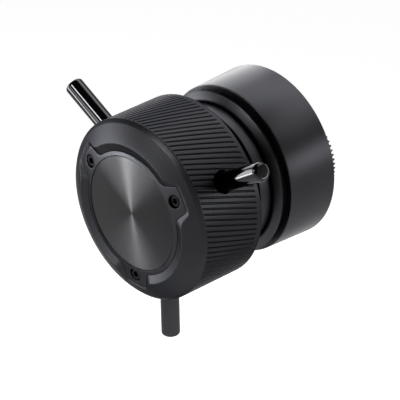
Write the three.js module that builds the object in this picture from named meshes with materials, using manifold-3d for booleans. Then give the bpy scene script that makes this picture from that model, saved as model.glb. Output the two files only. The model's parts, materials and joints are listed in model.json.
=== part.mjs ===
// A focus demand: a hand wheel that turns without end on a fixed housing, which hangs on a toothed
// rosette at its back. Millimetres, +Z up. The front of the knob faces -Y. The origin is the centre of
// the rosette, in the plane of its tooth tips.
import * as THREE from 'three';
import * as BufferGeometryUtils from 'three/addons/utils/BufferGeometryUtils.js';
import Module from 'manifold-3d';

const wasm = await Module();
wasm.setup();

// Fits and overruns
const seatGap = 0.3; // round a piece that sits in another
const runGap = 0.35; // between the turning knob and the housing
const overrun = 1; // how far a cutter reaches past what it cuts
const flush = 0.001; // vertices closer than this are one

// Facets round a full turn
const fineFacets = 48;
const midFacets = 30;
const smallFacets = 12;
const curveFacets = 4; // along each curve of an outline
const ballFacets = 6;

// Mount: a rosette of the standard size, below the knob's axis
const rosetteRadius = 15.9;
const rosetteThickness = 4.2;
const rosetteToothCount = 60;
const rosetteToothDepth = 1.4;
const rosetteToothInnerRadius = 9.6;
const rosetteLandDrop = 1.9; // from the tooth tips to the inner land
const insertRadius = 4.2;
const insertBore = 2.5; // minor radius of the M6 thread
const insertLength = 7.6;
const rosetteScrewCircle = 7;
const rosetteScrewHead = 1.9;
const rosetteScrewShank = 1.1;
const rosetteScrewLength = 7;
const rosetteScrewSink = 1.1; // height of the countersunk head
const stemInset = 0.8; // stem inside the rosette's edge
const stemFlare = 2.4; // radius of the fillet where the stem meets the rear cover
const stemFlareFacets = 4;
const stemMargin = 4.1; // rear cover's edge beyond that fillet, below

// Housing: a slight cone with a rear cover let into it
const stemLength = 16; // rear rim of the housing in front of the tooth tips
const housingLength = 19.9;
const housingRearRadius = 30.8;
const housingTaper = 0.8; // front rim smaller than the rear rim
const housingEdge = 0.4; // chamfer on both outer edges
const housingWall = 2.2;
const housingFrontWall = 3.4;
const rearCoverThickness = 2.5;
const gasketThickness = 0.5;
const coverLedge = 1.4; // width of the ledge that the gasket lies on
const screwPostRadius = 2.6;
const screwPostInset = 2.4; // posts' circle inside the cavity's wall
const rearScrewHead = 2.2;
const rearScrewShank = 1.2;
const rearScrewSink = 1.3;
const rearScrewLength = 9;

// Bearing carrier: the ring in front of the housing, and the snout that holds both bearings
const grooveDepth = 1.6;
const grooveWidth = 3.2;
const carrierRingInset = 1; // ring inside the housing's front rim
const carrierRingTaper = 1.4;
const carrierRingLength = 2.4; // from the groove to the ring's front face
const carrierLipWidth = 2.05; // ring's front face, from the recess outwards
const carrierLipRound = 0.3;
const recessFloor = 1.4; // floor of the neck's recess, in front of the housing
const snoutWall = 3; // round the front bearing
const snoutReach = 13.6; // in front of the housing
const spigotStep = 2; // shoulder of the carrier in front of its thread
const carrierTail = 6.8; // behind the housing's front face
const lockRingClearance = 1.4; // to the posts of the housing
const lockRingWidth = 3.8;
const lockRingThickness = 3;
const lockRingSlots = 4;
const lockRingSlotWidth = 3;
const lockRingSlotDepth = 1.4;
const feltThickness = 0.5;

// Bearings: thin section, two sizes
const frontBearing = { bore: 10, outer: 13.5, width: 4, race: 0.8, ball: 0.8, count: 10, reach: 9 };
const rearBearing = { bore: 7.5, outer: 10.5, width: 4, race: 0.7, ball: 0.65, count: 9, reach: -3.2 };
const shoulderBore = 11.6; // carrier between the bearings
const washerThickness = 0.35;
const washerWave = 0.12;
const washerWaves = 3;
const washerWidth = 1.5;

// Knob: sizes read from the photograph
const neckReach = 15.9; // knob's rear edge in front of the housing
const knobOverhang = 2.2; // barrel beyond the housing's front rim
const barrelLength = 25.4;
const shoulder = 1.2; // chamfer between the barrel and the face
const faceWidth = 6.1; // sloping face, from the shoulder in to the crest
const faceRise = 3.3;
const facePowerShare = 1.12; // the face falls off with this power of the way to the shoulder
const faceSteps = 3;
const bevelWidth = 2.7; // from the crest in to the edge of the recess
const bevelDrop = 0.8; // crest above the cover's ring
const knobRearBand = 1.9; // smooth band behind the ribs
const knobRearRound = 0.6;
const ribCount = 102;
const ribDepth = 0.8;
const ribTopShare = 0.64; // flat top, as a share of the pitch
const ribLean = 0.345; // millimetres round per millimetre forward
const ribRunOut = 0.5; // length over which the grooves deepen at their rear end
const ribSteps = 3;
const shellWall = 2.6;
const shellWindowGap = 0.4; // opening under the cover plate, outside the hub's bore
const knobTurnAtRest = 1.7; // degrees, as in the photograph

// Cover plate with its ears, and the disc in it
const rimWidth = 1.7; // ring round the disc
const discThickness = 1;
const discDrop = 0.2; // below the ring's inner edge
const discGap = 0.2;
const coverThickness = 3;
const earCount = 3;
const earFirstAngle = 30;
const earInset = 4.9; // ear tip inside the barrel
const earRootHalf = 6.1; // half the width where the ear leaves the ring
const earTipHalf = 4.6;
const earRootFillet = 2;
const earCorner = 1;
const earDrop = 1.05; // ear tip below the ring
const pocketGap = 0.3; // round the ear, up to its face
const pocketSlopeWidth = 2.4; // slope from there outwards, to past the shell's face
const pocketSlopeRise = 1.9;
const coverScrewInset = 3.6; // screws' circle inside the ear tips
const coverScrewHead = 1.95;
const coverScrewHeadHeight = 1.7;
const coverScrewShank = 1;
const coverScrewClearance = 0.8; // from its tip to the rod behind it
const coverScrewSocket = 0.9; // half the width across the flats
const coverScrewSocketDepth = 1;
const coverScrewSink = 0.4; // head below the ear
const counterboreRadius = 2.3;

// Finger rods
const rodRadius = 3.3;
const rodStandout = 21; // tip beyond the barrel
const rodSeat = 2.5; // root outside the hub's bore
const rodRound = 1;
const rodRoundFacets = 3;
const rodPlaceShare = 0.52; // of the barrel's length, from its rear edge
const rodHoleGap = 0.75; // hole in the shell round each rod

// Hub and spindle
const shellFloor = 3.4; // of the shell, between the hub's front and the cover plate
const hubRearSet = 0.7; // hub behind the shell's rear edge
const neckClearance = 1; // round the snout
const neckRear = 2.25; // in front of the housing
const neckFront = 9.6;
const neckGrooveShare = 0.66; // groove's floor, on the way from the neck's bore to its outside
const neckGrooveSlope = 0.6;
const hubSeat = 14.4; // spindle flange meets the hub here
const hubRimInset = 4.7; // hub's bore inside the cover screws' circle
const hubFloor = 20;
const hubBossRadius = 9.5;
const hubBossFront = 24;
const spindleFlange = 11.4;
const spindleFlangeThickness = 1.2;
const spindleNose = 6;
const spindleNoseLength = 7.6;
const spindleThread = 5.5;
const nutThickness = 2.6;
const nutHalf = 8.2; // half the width across the flats
const hubScrewHead = 6.5;
const hubScrewHeadHeight = 2.5;
const hubScrewShank = 2.5;
const hubScrewLength = 8.6;
const hubScrewSocket = 2;
const hubScrewSocketDepth = 1.4;
const magnetRadius = 4;
const magnetThickness = 2;
const magnetHolderWall = 1;
const magnetHolderFloor = 0.8;
const magnetStand = 0.4; // magnet out of its holder

// Electronics
const boardClearance = 1.2; // to the cavity's wall
const boardThickness = 1.6;
const boardStand = 4.1; // board in front of the rear cover
const chipSize = 5;
const chipThickness = 1;
const magnetAir = 0.6; // magnet's face in front of the sensor
const controllerSize = 7;
const controllerInset = 11; // controller chip's middle inside the board's edge
const standoffRadius = 2.4;
const standoffInset = 2; // standoffs' circle inside the board's edge
const standoffAngle = 30;
const boardScrewHead = 2.1;
const boardScrewHeadHeight = 1.2;
const boardScrewShank = 1.1;
const boardScrewLength = 6;
const socketWidth = 8.94;
const socketHeight = 3.26;
const socketWall = 0.3;
const socketTongueThickness = 0.7;
const socketTongueWidth = 6.7;
const socketFloor = 1.2;
const socketSet = 0.2; // mouth below the rear cover's face
const socketAcross = 7.5;
const socketInset = 11; // sockets' middle line inside the board's top edge

// Radii that follow from these, from the outside inwards
const housingFrontRadius = housingRearRadius - housingTaper;
const coverRadius = housingRearRadius - housingWall;
const cavityRadius = coverRadius - coverLedge;
const screwPostCircle = cavityRadius - screwPostInset;
const lockRingRadius = screwPostCircle - screwPostRadius - lockRingClearance;
const carrierThread = lockRingRadius - lockRingWidth;
const carrierSpigot = carrierThread + spigotStep;
const carrierRingRadius = housingFrontRadius - carrierRingInset;
const carrierFrontRadius = carrierRingRadius - carrierRingTaper;
const grooveFloorRadius = carrierRingRadius - grooveDepth;
const snoutRadius = frontBearing.outer + snoutWall;
const neckRadius = carrierFrontRadius - carrierLipWidth - runGap;
const neckBore = snoutRadius + neckClearance;
const neckGrooveRadius = neckBore + neckGrooveShare * (neckRadius - neckBore);
const boardRadius = cavityRadius - boardClearance;
const standoffCircle = boardRadius - standoffInset;
const stemRadius = rosetteRadius - stemInset;
const axisRise = coverRadius - stemRadius - stemFlare - stemMargin; // knob's axis above the rosette
const knobRadius = housingFrontRadius + knobOverhang;
const faceRadius = knobRadius - shoulder;
const crestRadius = faceRadius - faceWidth;
const recessRadius = crestRadius - bevelWidth;
const ringRadius = recessRadius - pocketGap;
const discRadius = ringRadius - rimWidth;
const earReach = knobRadius - earInset;
const coverScrewCircle = earReach - coverScrewInset;
const shellBore = knobRadius - shellWall;
const hubRadius = shellBore - seatGap;
const hubRimBore = coverScrewCircle - hubRimInset;
const shellWindow = hubRimBore + shellWindowGap;
const rodRoot = hubRimBore + rodSeat;
const rodTip = knobRadius + rodStandout;
const rodHole = rodRadius + rodHoleGap;

// Stations along the axis, forward of the tooth tips
const housingRear = stemLength;
const housingFront = housingRear + housingLength;
const front = (reach) => housingFront + reach; // a distance in front of the housing, as a station
const coverSeat = housingRear + rearCoverThickness;
const knobRear = front(neckReach);
const barrelFront = knobRear + barrelLength;
const crest = barrelFront + shoulder + faceRise;
const ringTop = crest - bevelDrop;
const coverBase = ringTop - coverThickness;
const hubRear = knobRear + hubRearSet;
const grooveTop = front(grooveWidth);
const carrierFront = grooveTop + carrierRingLength;
const hubFront = coverBase - shellFloor;
const rodStation = knobRear + rodPlaceShare * barrelLength;
const boardRear = coverSeat + boardStand;
const boardFront = boardRear + boardThickness;
const magnetRear = boardFront + chipThickness + magnetAir;
const magnetFront = magnetRear + magnetThickness;
const spindleEnd = magnetFront + magnetHolderFloor;
const degree = Math.PI / 180;
const turn = 2 * Math.PI;

// Materials
function finish(color, roughness, metalness) {
  return new THREE.MeshStandardMaterial({ color, roughness, metalness });
}
const blackAnodised = finish(0x25262a, 0.42, 0.6);
const satinAnodised = finish(0x303135, 0.35, 0.7);
const spunAluminium = finish(0x5a5b60, 0.3, 0.9);
const blackChrome = finish(0x1c1c1f, 0.12, 0.95);
const blackSteel = finish(0x101012, 0.4, 0.8);
const bearingSteel = finish(0xb9bcc0, 0.25, 1);
const brass = finish(0xb89450, 0.35, 1);
const boardGreen = finish(0x164a2c, 0.5, 0.1);
const chipBlack = finish(0x141414, 0.6, 0);
const magnetNickel = finish(0x9fa2a6, 0.3, 1);
const rubberBlack = finish(0x0c0c0c, 0.9, 0);
const felt = finish(0x3a3a38, 1, 0);

// Geometry helpers. A profile is a list of [radius, station] pairs about the Y axis.
function weld(geometry) {
  const bare = new THREE.BufferGeometry();
  bare.setAttribute('position', geometry.getAttribute('position').clone());
  if (geometry.index) bare.setIndex(geometry.index.clone());
  const merged = BufferGeometryUtils.mergeVertices(bare, flush);
  const place = merged.getAttribute('position');
  const kept = [];
  let volume = 0;
  const a = new THREE.Vector3();
  const b = new THREE.Vector3();
  const c = new THREE.Vector3();
  for (let i = 0; i < merged.index.count; i += 3) {
    const corner = [merged.index.getX(i), merged.index.getX(i + 1), merged.index.getX(i + 2)];
    if (new Set(corner).size < 3) continue;
    kept.push(corner);
    a.fromBufferAttribute(place, corner[0]);
    b.fromBufferAttribute(place, corner[1]);
    c.fromBufferAttribute(place, corner[2]);
    volume += a.dot(b.cross(c));
  }
  merged.setIndex(kept.flatMap((corner) => (volume > 0 ? corner : corner.reverse())));
  return merged;
}

function solid(geometry) {
  const closed = weld(geometry);
  return new wasm.Manifold(new wasm.Mesh({
    numProp: 3,
    vertProperties: new Float32Array(closed.getAttribute('position').array),
    triVerts: new Uint32Array(closed.index.array),
  }));
}

function surface(body) {
  const shape = body.getMesh();
  const geometry = new THREE.BufferGeometry();
  geometry.setAttribute('position', new THREE.BufferAttribute(new Float32Array(shape.vertProperties), 3));
  geometry.setIndex(Array.from(shape.triVerts));
  return geometry;
}

function join(geometries) {
  return surface(geometries.slice(1).reduce((sum, part) => sum.add(solid(part)), solid(geometries[0])));
}

function cut(geometry, cutters) {
  return surface(cutters.reduce((rest, part) => rest.subtract(solid(part)), solid(geometry)));
}

function common(geometry, other) {
  return surface(solid(geometry).intersect(solid(other)));
}

// A closed profile turned about the axis
function turned(profile, facets) {
  const points = profile.map(([radius, station]) => new THREE.Vector2(radius, -station));
  const first = points[0];
  if (first.x > 0 || points[points.length - 1].x > 0) points.push(first.clone());
  return weld(new THREE.LatheGeometry(points, facets));
}

function disc(radius, from, to, facets) {
  return turned([[0, from], [radius, from], [radius, to], [0, to]], facets);
}

function ring(inner, outer, from, to, facets) {
  return turned([[inner, from], [outer, from], [outer, to], [inner, to]], facets);
}

// A flat outline in X and Z, pushed forward from one station to another
function pushed(shape, from, to) {
  const geometry = new THREE.ExtrudeGeometry(shape, {
    depth: to - from,
    bevelEnabled: false,
    curveSegments: curveFacets,
  });
  geometry.rotateX(Math.PI / 2);
  geometry.translate(0, -from, 0);
  return weld(geometry);
}

// A loft through outlines, each at its own station, or with a station for each radius. Where their
// numbers of points differ, the side faces are zipped together in step with the way round.
function lofted(sections) {
  const place = sections.flatMap(({ outline, station, stationAt = () => station }) => outline.flatMap(
    (p) => [p.x, -stationAt(p.length()), p.y]));
  const index = [];
  let low = 0;
  sections.slice(1).forEach(({ outline }, level) => {
    const lowCount = sections[level].outline.length;
    const highCount = outline.length;
    const high = low + lowCount;
    let i = 0;
    let j = 0;
    while (i < lowCount || j < highCount) {
      const lowPoint = low + (i % lowCount);
      const highPoint = high + (j % highCount);
      if (i < lowCount && (i + 1) * highCount <= (j + 1) * lowCount) {
        i += 1;
        index.push(lowPoint, highPoint, low + (i % lowCount));
      } else {
        j += 1;
        index.push(lowPoint, highPoint, high + (j % highCount));
      }
    }
    low = high;
  });
  for (const [a, b, c] of THREE.ShapeUtils.triangulateShape(sections[0].outline, [])) index.push(a, b, c);
  const last = sections[sections.length - 1].outline;
  for (const [a, b, c] of THREE.ShapeUtils.triangulateShape(last, [])) index.push(low + a, low + c, low + b);
  const geometry = new THREE.BufferGeometry();
  geometry.setAttribute('position', new THREE.Float32BufferAttribute(place, 3));
  geometry.setIndex(index);
  return weld(geometry);
}

function polar(radius, angle) {
  return new THREE.Vector2(radius * Math.cos(angle), radius * Math.sin(angle));
}

function moved(geometry, x, z) {
  return geometry.clone().translate(x, 0, z);
}

// The same geometry at a distance from the axis, at an angle from +X towards +Z
function onCircle(geometry, radius, angle) {
  return moved(geometry, radius * Math.cos(angle * degree), radius * Math.sin(angle * degree));
}

// Angles of a set of pieces spread evenly round the axis
function spread(count, first) {
  return Array.from({ length: count }, (_, i) => first + (i * 360) / count);
}

// Pieces are collected here, then placed in the two groups
const fixed = new THREE.Group();
const knob = new THREE.Group();

function place(group, name, geometry, material) {
  const mesh = new THREE.Mesh(geometry, material);
  mesh.name = name;
  group.add(mesh);
  return mesh;
}

// A screw with its head towards the rear, sunk in a cone
function countersunk(head, shank, sink, length, station) {
  return turned([
    [0, station], [head, station], [head, station + sink / 4], [shank, station + sink],
    [shank, station + length], [0, station + length],
  ], smallFacets);
}

// Holes for such a screw
function countersunkHole(head, shank, sink, length, station) {
  return turned([
    [0, station - overrun], [head + seatGap, station - overrun], [head + seatGap, station + sink / 4],
    [shank + seatGap, station + sink + seatGap / 2], [shank + seatGap, station + length + seatGap],
    [0, station + length + seatGap],
  ], smallFacets);
}

// A hexagonal prism about the axis
function hexagon(half, from, to) {
  const corner = half / Math.cos(Math.PI / 6);
  return disc(corner, from, to, 6);
}

// Outline of ribs with flat tops. Three points make a rib: both edges of its top and the groove's floor.
function ribOutline(radius, depth, angle) {
  const pitch = turn / ribCount;
  const edge = (ribTopShare * pitch) / 2;
  return Array.from({ length: ribCount }, (_, i) => i * pitch + angle).flatMap((middle) => [
    polar(radius, middle - edge),
    polar(radius, middle + edge),
    polar(radius - depth, middle + pitch / 2),
  ]);
}

// Outline of a circle that starts at the same angle as the ribs
function circleOutline(radius, count, angle) {
  return Array.from({ length: count }, (_, i) => polar(radius, angle + (i * turn) / count));
}

// Grip shell
function faceStation(radius) {
  const way = (radius - crestRadius) / faceWidth;
  return crest - faceRise * way ** facePowerShare;
}

// Outside of the shell, from its rear edge over the ribs and the face down to the recess's floor
function shellOutside() {
  const bandEnd = knobRear + knobRearBand;
  const ribStart = bandEnd + ribRunOut;
  const count = ribCount / 2;
  const lean = (station) => ((station - knobRear) * ribLean) / knobRadius;
  const plain = (radius, station) => ({ outline: circleOutline(radius, count, lean(station)), station });
  const ribbed = Array.from({ length: ribSteps + 1 }, (_, i) => {
    const station = ribStart + ((barrelFront - ribStart) * i) / ribSteps;
    return { outline: ribOutline(knobRadius, ribDepth, lean(station)), station };
  });
  const floorEnd = barrelFront + ribDepth; // the grooves run out on the shoulder
  const face = Array.from({ length: faceSteps + 1 }, (_, i) => {
    const radius = faceRadius - (faceWidth * i) / faceSteps;
    return plain(radius, faceStation(radius));
  });
  return lofted([
    plain(knobRadius - knobRearRound, knobRear),
    plain(knobRadius, knobRear + knobRearRound),
    plain(knobRadius, bandEnd),
    ...ribbed,
    { outline: ribOutline(knobRadius - ribDepth, 0, lean(floorEnd)), station: floorEnd },
    ...face,
    plain(recessRadius, ringTop),
    plain(recessRadius, coverBase),
  ]);
}

// Adds one ear to an outline that runs round the ring, all of it grown outwards
function addEar(shape, degrees, grow) {
  const middle = degrees * degree;
  const radius = ringRadius + grow;
  const reach = earReach + grow;
  const rootSweep = Math.asin((earRootHalf + grow) / radius);
  const tipSweep = Math.asin((earTipHalf + grow) / reach);
  const fillet = earRootFillet / radius;
  const round = (earCorner + grow) / reach;
  const towards = (from, to, way) => from.clone().addScaledVector(to.clone().sub(from).normalize(), way);
  const curve = (control, end) => shape.quadraticCurveTo(control.x, control.y, end.x, end.y);
  const line = (end) => shape.lineTo(end.x, end.y);
  const root = [polar(radius, middle - rootSweep), polar(radius, middle + rootSweep)];
  const tip = [polar(reach, middle - tipSweep), polar(reach, middle + tipSweep)];
  line(polar(radius, middle - rootSweep - fillet));
  curve(root[0], towards(root[0], tip[0], earRootFillet));
  line(towards(tip[0], root[0], earCorner + grow));
  curve(tip[0], polar(reach, middle - tipSweep + round));
  shape.absarc(0, 0, reach, middle - tipSweep + round, middle + tipSweep - round, false);
  curve(tip[1], towards(tip[1], root[1], earCorner + grow));
  line(towards(root[1], tip[1], earRootFillet));
  curve(root[1], polar(radius, middle + rootSweep + fillet));
  return middle + rootSweep + fillet;
}

function pocketOutline(degrees, grow) {
  const shape = new THREE.Shape();
  shape.moveTo(0, 0);
  addEar(shape, degrees, grow);
  return shape.extractPoints(curveFacets).shape;
}

function earStation(radius) {
  return ringTop - (earDrop * (radius - ringRadius)) / (earReach - ringRadius);
}

// Upright as far as the ear's face, then sloping outwards through the shell's face
function pocketCutter(degrees) {
  const slopeTop = (radius) => earStation(radius) + pocketSlopeRise;
  return lofted([
    { outline: pocketOutline(degrees, pocketGap), station: coverBase },
    { outline: pocketOutline(degrees, pocketGap), stationAt: earStation },
    { outline: pocketOutline(degrees, pocketGap + pocketSlopeWidth), stationAt: slopeTop },
  ]);
}

function rodCutter(radius, from, to, angle) {
  const geometry = disc(radius, from, to, smallFacets);
  geometry.rotateZ(Math.PI / 2);
  geometry.rotateY(-angle * degree);
  return geometry.translate(0, -rodStation, 0);
}

const earAngles = spread(earCount, earFirstAngle);

function gripShell() {
  const inside = turned([
    [0, knobRear - overrun],
    [shellBore + knobRearRound / 2 + overrun, knobRear - overrun],
    [shellBore, knobRear + knobRearRound / 2],
    [shellBore, hubFront],
    [shellWindow, hubFront],
    [shellWindow, coverBase + overrun],
    [0, coverBase + overrun],
  ], midFacets);
  const screwHole = disc(coverScrewShank + seatGap, hubFront - overrun, coverBase + overrun, smallFacets);
  return cut(shellOutside(), [
    inside,
    ...earAngles.map(pocketCutter),
    ...earAngles.map((angle) => onCircle(screwHole, coverScrewCircle, angle)),
    ...earAngles.map((angle) => rodCutter(rodHole, shellBore - overrun, knobRadius + overrun, angle)),
  ]);
}
place(knob, 'grip_shell', gripShell(), blackAnodised);

// Cover plate: ring and ears in one outline, under a cone that falls towards the ear tips
function coverOutline() {
  const shape = new THREE.Shape();
  const half = turn / earCount / 2;
  const start = polar(ringRadius, earAngles[0] * degree - half);
  shape.moveTo(start.x, start.y);
  earAngles.forEach((degrees, i) => {
    const ringFrom = addEar(shape, degrees, 0);
    const ringTo = i === earCount - 1 ? degrees * degree + half : ringFrom;
    const nextStart = degrees * degree + 2 * half - (ringFrom - degrees * degree);
    shape.absarc(0, 0, ringRadius, ringFrom, i === earCount - 1 ? ringTo : nextStart, false);
  });
  return shape;
}

const seatRadius = discRadius + discGap;
const discTop = earStation(seatRadius) - discDrop;
const discRear = discTop - discThickness;
const counterboreFloor = earStation(coverScrewCircle) - coverScrewSink - coverScrewHeadHeight;
const coverScrewTip = rodStation + rodRadius + coverScrewClearance;
const coverScrewLength = counterboreFloor - coverScrewTip;

function coverPlate() {
  const plate = pushed(coverOutline(), coverBase, crest);
  const top = turned([
    [0, coverBase], [knobRadius, coverBase], [knobRadius, earStation(knobRadius)],
    [seatRadius, earStation(seatRadius)], [seatRadius, discRear], [0, discRear],
  ], fineFacets);
  const hole = disc(coverScrewShank + seatGap, coverBase - overrun, crest, smallFacets);
  const counterbore = disc(counterboreRadius, counterboreFloor, crest, smallFacets);
  return cut(common(plate, top), earAngles.flatMap((angle) => [
    onCircle(hole, coverScrewCircle, angle),
    onCircle(counterbore, coverScrewCircle, angle),
  ]));
}
place(knob, 'cover_plate', coverPlate(), blackAnodised);

place(knob, 'face_disc', disc(discRadius, discRear, discTop, fineFacets), spunAluminium);

// A screw with a cylinder head and a hexagon socket, driven from the front
function socketScrew(head, headHeight, shank, length, socket, socketDepth, under) {
  const body = turned([
    [0, under - length], [shank, under - length], [shank, under], [head, under],
    [head, under + headHeight], [0, under + headHeight],
  ], smallFacets);
  const top = under + headHeight;
  return cut(body, [hexagon(socket, top - socketDepth, top + overrun)]);
}

earAngles.forEach((angle, i) => {
  const screw = socketScrew(coverScrewHead, coverScrewHeadHeight, coverScrewShank, coverScrewLength,
    coverScrewSocket, coverScrewSocketDepth, counterboreFloor);
  place(knob, `cover_screw_${i + 1}`, onCircle(screw, coverScrewCircle, angle), blackSteel);
});

// Finger rods, radial, with rounded tips
function fingerRod(angle) {
  const round = Array.from({ length: rodRoundFacets + 1 }, (_, i) => {
    const t = (i * Math.PI) / 2 / rodRoundFacets;
    return [rodRadius - rodRound + rodRound * Math.cos(t), rodTip - rodRound + rodRound * Math.sin(t)];
  });
  const geometry = turned([[0, rodRoot], [rodRadius, rodRoot], ...round, [0, rodTip]], smallFacets);
  geometry.rotateZ(Math.PI / 2);
  geometry.rotateY(-angle * degree);
  return geometry.translate(0, -rodStation, 0);
}
earAngles.forEach((angle, i) => place(knob, `finger_rod_${i + 1}`, fingerRod(angle), blackChrome));

// Hub: neck at the rear, thick rim for the rods and screws, boss for the spindle
function knobHub() {
  const blank = turned([
    [spindleNose + seatGap, front(hubSeat)],
    [neckBore, front(hubSeat)],
    [neckBore, front(neckRear)],
    [neckRadius, front(neckRear)],
    [neckRadius, front(neckFront)],
    [neckGrooveRadius, front(neckFront) + neckGrooveSlope],
    [neckGrooveRadius, hubRear],
    [hubRadius, hubRear],
    [hubRadius, hubFront],
    [hubRimBore, hubFront],
    [hubRimBore, front(hubFloor)],
    [hubBossRadius, front(hubFloor)],
    [hubBossRadius, front(hubBossFront)],
    [spindleNose + seatGap, front(hubBossFront)],
  ], fineFacets);
  const screwEnd = coverScrewTip - seatGap;
  const screwHole = disc(coverScrewShank + seatGap, screwEnd, hubFront + overrun, smallFacets);
  return cut(blank, [
    ...earAngles.map((angle) => onCircle(screwHole, coverScrewCircle, angle)),
    ...earAngles.map((angle) => rodCutter(rodRadius + seatGap, rodRoot - seatGap, hubRadius + overrun, angle)),
  ]);
}
place(knob, 'knob_hub', knobHub(), satinAnodised);

// Spindle: flange against the hub, two bearing seats, thread and a spigot at the tail
const rearRaceFront = front(rearBearing.reach) + rearBearing.width;
const rearRaceRear = front(rearBearing.reach);
const frontRaceFront = front(frontBearing.reach) + frontBearing.width;

function spindle() {
  const flangeRear = front(hubSeat) - spindleFlangeThickness;
  const blank = turned([
    [0, spindleEnd],
    [spindleThread, spindleEnd],
    [spindleThread, rearRaceRear - seatGap],
    [rearBearing.bore - seatGap, rearRaceRear - seatGap],
    [rearBearing.bore - seatGap, rearRaceFront + seatGap],
    [frontBearing.bore - seatGap, rearRaceFront + seatGap],
    [frontBearing.bore - seatGap, flangeRear],
    [spindleFlange, flangeRear],
    [spindleFlange, front(hubSeat)],
    [spindleNose, front(hubSeat)],
    [spindleNose, front(hubSeat) + spindleNoseLength],
    [0, front(hubSeat) + spindleNoseLength],
  ], midFacets);
  const boreEnd = front(hubBossFront) - hubScrewLength - seatGap;
  return cut(blank, [disc(hubScrewShank + seatGap, boreEnd, front(hubBossFront), smallFacets)]);
}
place(knob, 'spindle', spindle(), bearingSteel);
place(knob, 'hub_screw', socketScrew(hubScrewHead, hubScrewHeadHeight, hubScrewShank, hubScrewLength,
  hubScrewSocket, hubScrewSocketDepth, front(hubBossFront)), blackSteel);

const nutFront = rearRaceRear - seatGap;
place(knob, 'spindle_nut', cut(hexagon(nutHalf, nutFront - nutThickness, nutFront),
  [disc(spindleThread + seatGap, nutFront - nutThickness - overrun, nutFront + overrun, smallFacets)]), bearingSteel);

// Magnet in its cup on the spindle's end
const holderRadius = magnetRadius + seatGap + magnetHolderWall;
place(knob, 'magnet_holder', turned([
  [0, spindleEnd], [holderRadius, spindleEnd], [holderRadius, magnetRear + magnetStand],
  [magnetRadius + seatGap, magnetRear + magnetStand], [magnetRadius + seatGap, magnetFront], [0, magnetFront],
], midFacets), brass);
place(knob, 'magnet', disc(magnetRadius, magnetRear, magnetFront, midFacets), magnetNickel);

// Bearings: races of a plain section, and balls held in one cage
function addBearing(name, size) {
  const from = front(size.reach);
  const to = from + size.width;
  const middle = (size.bore + size.outer) / 2;
  const inner = ring(size.bore, size.bore + size.race, from, to, midFacets);
  const outer = ring(size.outer - size.race, size.outer, from, to, midFacets);
  const station = (from + to) / 2;
  const bandHalf = size.ball / 2;
  const band = ring(middle - bandHalf / 2, middle + bandHalf / 2, station - bandHalf, station + bandHalf, midFacets);
  const ball = new THREE.SphereGeometry(size.ball, ballFacets, ballFacets / 2);
  ball.translate(0, -station, 0);
  const balls = spread(size.count, 0).map((angle) => onCircle(ball, middle, angle));
  place(knob, `${name}_inner_race`, inner, bearingSteel);
  place(fixed, `${name}_outer_race`, outer, bearingSteel);
  place(fixed, `${name}_ball_cage`, join([band, ...balls]), brass);
}
addBearing('front_bearing', frontBearing);
addBearing('rear_bearing', rearBearing);

// Wave washer that loads the front bearing
function waveWasher() {
  const to = front(frontBearing.reach) - washerWave - seatGap / 2;
  const outer = frontBearing.outer - seatGap / 2;
  const washer = ring(outer - washerWidth, outer, to - washerThickness, to, midFacets);
  const point = washer.getAttribute('position');
  for (let i = 0; i < point.count; i++) {
    const angle = Math.atan2(point.getZ(i), point.getX(i));
    point.setY(i, point.getY(i) + washerWave * Math.sin(washerWaves * angle));
  }
  return washer;
}
place(fixed, 'wave_washer', waveWasher(), bearingSteel);

// Bearing carrier
function bearingCarrier() {
  const washerSeat = front(frontBearing.reach) - washerThickness - 2 * washerWave - seatGap;
  return turned([
    [grooveFloorRadius, housingFront],
    [grooveFloorRadius, grooveTop],
    [carrierRingRadius, grooveTop],
    [carrierFrontRadius, carrierFront - carrierLipRound],
    [carrierFrontRadius - carrierLipRound, carrierFront],
    [neckRadius + runGap, carrierFront],
    [neckRadius + runGap, front(recessFloor)],
    [snoutRadius, front(recessFloor)],
    [snoutRadius, front(snoutReach)],
    [frontBearing.outer + seatGap, front(snoutReach)],
    [frontBearing.outer + seatGap, washerSeat],
    [shoulderBore, washerSeat],
    [shoulderBore, rearRaceFront + seatGap],
    [rearBearing.outer - rearBearing.race, rearRaceFront + seatGap],
    [rearBearing.outer - rearBearing.race, rearRaceFront],
    [rearBearing.outer + seatGap, rearRaceFront],
    [rearBearing.outer + seatGap, front(-carrierTail)],
    [carrierThread, front(-carrierTail)],
    [carrierThread, front(-housingFrontWall)],
    [carrierSpigot, front(-housingFrontWall)],
    [carrierSpigot, housingFront],
  ], fineFacets);
}
place(fixed, 'bearing_carrier', bearingCarrier(), satinAnodised);

function lockRing() {
  const to = front(-housingFrontWall);
  const from = to - lockRingThickness;
  const blank = ring(carrierThread + seatGap, lockRingRadius, from, to, midFacets);
  const slot = new THREE.BoxGeometry(lockRingSlotDepth + overrun, lockRingSlotDepth + overrun, lockRingSlotWidth);
  slot.translate(lockRingRadius + (overrun - lockRingSlotDepth) / 2, -(from + (lockRingSlotDepth - overrun) / 2), 0);
  const slots = spread(lockRingSlots, 0).map((angle) => slot.clone().rotateY(-angle * degree));
  return cut(blank, slots);
}
place(fixed, 'carrier_lock_ring', lockRing(), blackSteel);
place(fixed, 'felt_seal', ring(snoutRadius + seatGap, neckRadius - seatGap, front(recessFloor),
  front(recessFloor) + feltThickness, midFacets), felt);

// Housing, open at the rear, with three posts for the rear cover's screws
const postAngles = spread(3, 90);

function housingRadius(station) {
  return housingRearRadius + ((housingFrontRadius - housingRearRadius) * (station - housingRear)) / housingLength;
}
const cavityRear = coverSeat + gasketThickness;
const socketRise = boardRadius - socketInset;

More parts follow.
